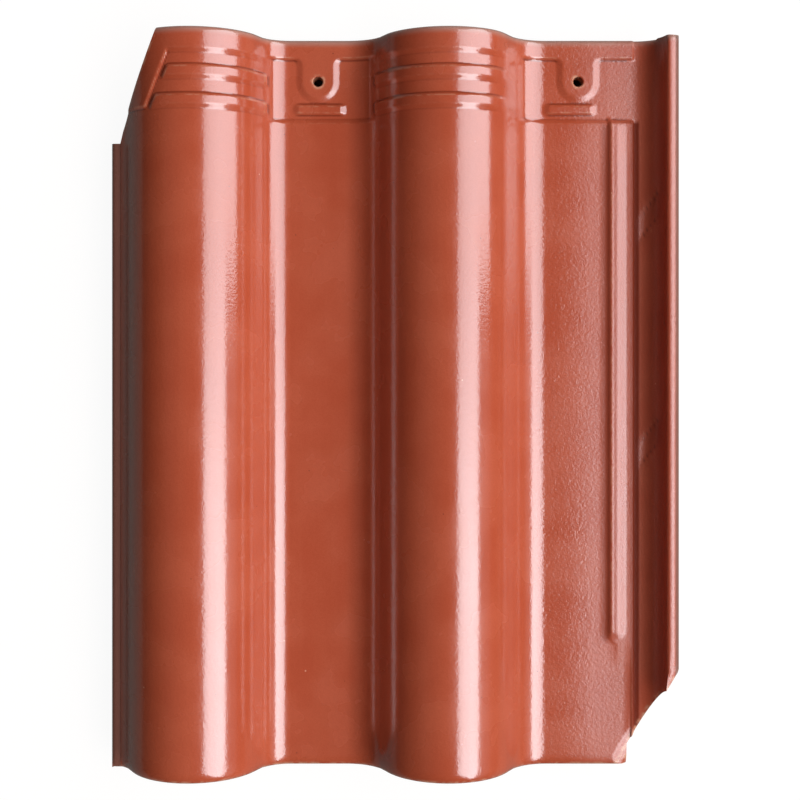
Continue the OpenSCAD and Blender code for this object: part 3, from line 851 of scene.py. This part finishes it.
class Finish:
    """Material with short words for the nodes that it is made of"""

    def __init__(self, name):
        self.material = bpy.data.materials.new(name)
        self.material.use_nodes = True
        self.nodes = self.material.node_tree.nodes
        self.links = self.material.node_tree.links
        self.shader = self.nodes["Principled BSDF"]
        self.place = self.nodes.new("ShaderNodeTexCoord").outputs["Object"]
        self.across = self.axis((1, 0, 0))
        self.along = self.axis((0, 1, 0))

    def put(self, socket, value):
        if isinstance(value, bpy.types.NodeSocket):
            self.links.new(value, socket)
        else:
            socket.default_value = value

    def give(self, name, value):
        """Sets one of the shader's own sockets"""
        self.put(self.shader.inputs[name], value)

    def sum(self, operation, *values):
        node = self.nodes.new("ShaderNodeMath")
        node.operation = operation
        for socket, value in zip(node.inputs, values):
            self.put(socket, value)
        return node.outputs[0]

    def product(self, first, *others):
        for other in others:
            first = self.sum("MULTIPLY", first, other)
        return first

    def most(self, first, *others):
        for other in others:
            first = self.sum("MAXIMUM", first, other)
        return first

    def ramp(self, value, low, high, to_low=0.0, to_high=1.0):
        node = self.nodes.new("ShaderNodeMapRange")
        node.interpolation_type = "SMOOTHSTEP"
        for name, part in (("Value", value), ("From Min", low), ("From Max", high),
                           ("To Min", to_low), ("To Max", to_high)):
            self.put(node.inputs[name], part)
        return node.outputs["Result"]

    def noise(self, scale, detail=2.0, stretch=(1, 1, 1)):
        vector = self.place
        if stretch != (1, 1, 1):
            spread = self.nodes.new("ShaderNodeMapping")
            spread.inputs["Scale"].default_value = stretch
            self.links.new(self.place, spread.inputs["Vector"])
            vector = spread.outputs[0]
        node = self.nodes.new("ShaderNodeTexNoise")
        node.inputs["Scale"].default_value = scale
        node.inputs["Detail"].default_value = detail
        self.links.new(vector, node.inputs["Vector"])
        return node.outputs["Fac"]

    def blend(self, share, low, high):
        node = self.nodes.new("ShaderNodeMix")
        node.data_type = "RGBA"
        self.put(node.inputs["Factor"], share)
        self.put(node.inputs["A"], low)
        self.put(node.inputs["B"], high)
        return node.outputs["Result"]

    def mark(self, name):
        node = self.nodes.new("ShaderNodeAttribute")
        node.attribute_name = name
        return node.outputs["Fac"]

    def axis(self, direction, offset=0.0):
        """Distance along a direction, in metres, from a plane at offset mm"""
        node = self.nodes.new("ShaderNodeVectorMath")
        node.operation = "DOT_PRODUCT"
        node.inputs[1].default_value = direction
        self.links.new(self.place, node.inputs[0])
        return self.sum("SUBTRACT", node.outputs["Value"], offset * MM)

    def distance(self, x, y):
        """Distance in plan, in metres, from an upright line at a place in mm"""
        off = self.nodes.new("ShaderNodeVectorMath")
        off.operation = "MULTIPLY_ADD"
        off.inputs[1].default_value = (1, 1, 0)
        off.inputs[2].default_value = (-x * MM, -y * MM, 0)
        self.links.new(self.place, off.inputs[0])
        length = self.nodes.new("ShaderNodeVectorMath")
        length.operation = "LENGTH"
        self.links.new(off.outputs[0], length.inputs[0])
        return length.outputs["Value"]

    def specks(self, scale, size, kept):
        """Small round spots in some of the cells of a pattern"""
        node = self.nodes.new("ShaderNodeTexVoronoi")
        node.inputs["Scale"].default_value = scale
        self.links.new(self.place, node.inputs["Vector"])
        spot = self.ramp(node.outputs["Distance"], size, size * 0.4)
        tint = self.nodes.new("ShaderNodeSeparateColor")
        self.links.new(node.outputs["Color"], tint.inputs[0])
        return self.product(spot, self.ramp(tint.outputs["Red"], 1 - kept, 1 - kept + 0.02))


def thin_glaze(finish):
    """Mask of the edges, the hole rims and the sharp relief where the glaze runs thin"""
    corner = math.hypot(CORNER_SLOPE, 1)
    corner_way = (-CORNER_SLOPE / corner, 1 / corner, 0)
    corner_off = ((HALF_W - HEAD_CUT_W) * CORNER_SLOPE + HALF_L) / corner
    tail_run = math.hypot(TAIL_CUT_W, TAIL_CUT_L - TAIL_CUT_STRAIGHT)
    tail_way = ((TAIL_CUT_L - TAIL_CUT_STRAIGHT) / tail_run, -TAIL_CUT_W / tail_run, 0)
    tail_off = tail_way[0] * HALF_W + tail_way[1] * (TAIL_CUT_L - HALF_L)
    relief = finish.ramp(finish.mark("pool"), -0.15, -0.9, 0.0, 0.4)
    tail_edge = finish.ramp(finish.axis((0, -1, 0), HALF_L), -0.0022, -0.0003)
    corner_edge = finish.product(
        finish.ramp(finish.axis(corner_way, corner_off), -0.0018, -0.0002),
        finish.ramp(finish.across, -0.1498, -0.1485))
    notch_edge = finish.ramp(finish.axis(tail_way, tail_off), -0.0024, -0.0003)
    rims = [finish.ramp(finish.distance(x, HOLE_Y), (HOLE_R + 2.2) * MM, (HOLE_R + 0.3) * MM)
            for x in HOLE_X]
    thin = finish.most(relief, tail_edge, corner_edge, notch_edge, *rims)
    return finish.product(thin, finish.ramp(finish.noise(260, 3), 0.38, 0.62))


def lock_crease_shade(finish):
    """Mask of the crease between the strip and the channel, where the colour is darkened as
    painted shade
    """
    return finish.product(
        finish.ramp(finish.across, 0.1290, 0.1332), finish.ramp(finish.across, 0.1362, 0.1346),
        finish.ramp(finish.along, 0.1565, 0.1535))


def pooled_glaze_and_shade(finish, crease):
    """Mask of the hollows where the glaze gathers, with painted shade in the side lock's crease
    and along the foot of the water bar
    """
    bar_foot_shade = finish.product(
        finish.ramp(finish.across, 0.1130, 0.1165, 0.0, 0.5),
        finish.ramp(finish.across, 0.1195, 0.1182),
        finish.ramp(finish.along, -0.134, -0.129), finish.ramp(finish.along, 0.156, 0.151))
    return finish.most(finish.ramp(finish.mark("pool"), 0.1, 0.8, 0.0, 0.7), crease, bar_foot_shade)


def glaze_colour(finish, wide, fine, crease):
    """Colour of the glaze, from its broad clouds to its thin edges, with painted shade in the
    lock's crease, beside the water bar and on the side edges, and a painted sheen along the head
    edge
    """
    streak = finish.noise(1, 2, (210, 5, 210))
    colour = finish.blend(finish.ramp(wide, 0.3, 0.7), DEEP_GLAZE, LIGHT_GLAZE)
    colour = finish.blend(finish.ramp(streak, 0.35, 0.75, 0.0, 0.12), colour, STREAKED_GLAZE)
    colour = finish.blend(finish.ramp(fine, 0.35, 0.7, 0.0, 0.3), colour, DARK_GRAIN)
    colour = finish.blend(finish.specks(150, 0.075, 0.16), colour, DARK_SPECK)
    colour = finish.blend(finish.specks(83, 0.05, 0.14), colour, PALE_SPECK)
    # Darker glaze pooled in the relief's hollows, and painted shade in the lock's crease and at
    # the water bar's foot
    colour = finish.blend(pooled_glaze_and_shade(finish, crease), colour, POOLED_GLAZE_AND_SHADE)
    colour = finish.blend(thin_glaze(finish), colour, THIN_GLAZE)
    # Painted sheen along the rounded head edge, patchy by the broad clouds
    head = finish.product(
        finish.ramp(finish.axis((0, 1, 0), HALF_L), -0.0048, -0.0002, 0.0, 0.85),
        finish.ramp(wide, 0.2, 0.6, 0.6, 1.0))
    colour = finish.blend(head, colour, HEAD_EDGE_SHEEN)
    # Painted shade: the flange's outer edge and the lip's outer side darkened
    sides = finish.most(finish.ramp(finish.across, -0.1492, -0.1502, 0.0, 0.75),
                        finish.ramp(finish.across, 0.1518, 0.1532, 0.0, 0.75))
    return finish.blend(sides, colour, SIDE_EDGE_SHADE)


def glazed_clay():
    """Red glaze over the weather face and bare clay below"""
    finish = Finish("glazed_clay")
    across = finish.across
    wide = finish.noise(34, 3)
    fine = finish.noise(1300, 1)
    peel = finish.noise(600, 2)
    rough_clay = finish.noise(700, 4)
    crease = lock_crease_shade(finish)

    # Where the glaze stops on the way to the underside
    ragged = finish.product(finish.noise(90, 3), 0.5)
    glazed = finish.ramp(finish.sum("ADD", finish.mark("glaze"), ragged), 0.72, 0.8)

    bare = finish.blend(finish.ramp(rough_clay, 0.3, 0.7), BARE_CLAY, PALE_CLAY)
    bare = finish.blend(finish.ramp(wide, 0.35, 0.65, 0.0, 0.5), bare, HARD_FIRED_CLAY)
    colour = glaze_colour(finish, wide, fine, crease)
    finish.give("Base Color", finish.blend(glazed, bare, colour))

    # Gloss, duller toward the side lock and in its crease
    gloss = finish.sum("ADD", finish.ramp(wide, 0.3, 0.7, 0.2, 0.3),
                       finish.ramp(across, 0.088, 0.118, 0.0, 0.1))
    finish.give("Roughness", finish.ramp(glazed, 0, 1, 0.85, gloss))
    open_face = finish.sum("SUBTRACT", 1.0, finish.product(crease, 0.85))
    finish.give("Coat Weight", finish.product(glazed, open_face))
    finish.give("Coat Roughness", finish.ramp(across, 0.088, 0.12, 0.1, 0.38))
    finish.give("Specular IOR Level", finish.ramp(crease, 0.0, 1.0, 0.5, 0.1))
    finish.give("IOR", 1.5)
    finish.give("Coat IOR", 1.55)

    # Fine peel of the glaze, stronger toward the side lock, and the grain of bare clay
    skin = finish.sum("ADD", peel, finish.product(fine, 0.4))
    bump = finish.nodes.new("ShaderNodeBump")
    bump.inputs["Distance"].default_value = 0.00013
    finish.put(bump.inputs["Strength"], finish.ramp(across, 0.06, 0.095, 0.45, 1.0))
    finish.put(bump.inputs["Height"],
               finish.ramp(glazed, 0, 1, finish.product(rough_clay, 2.0), skin))
    finish.give("Normal", bump.outputs["Normal"])
    finish.give("Coat Normal", bump.outputs["Normal"])
    return finish.material


bpy.ops.object.select_all(action="DESELECT")
setup_camera()
setup_world()
setup_light()
setup_floor()
tile = model_tile()
tile.data.materials.clear()
tile.data.materials.append(glazed_clay())
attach(tile, "root")
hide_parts("roof_tile")
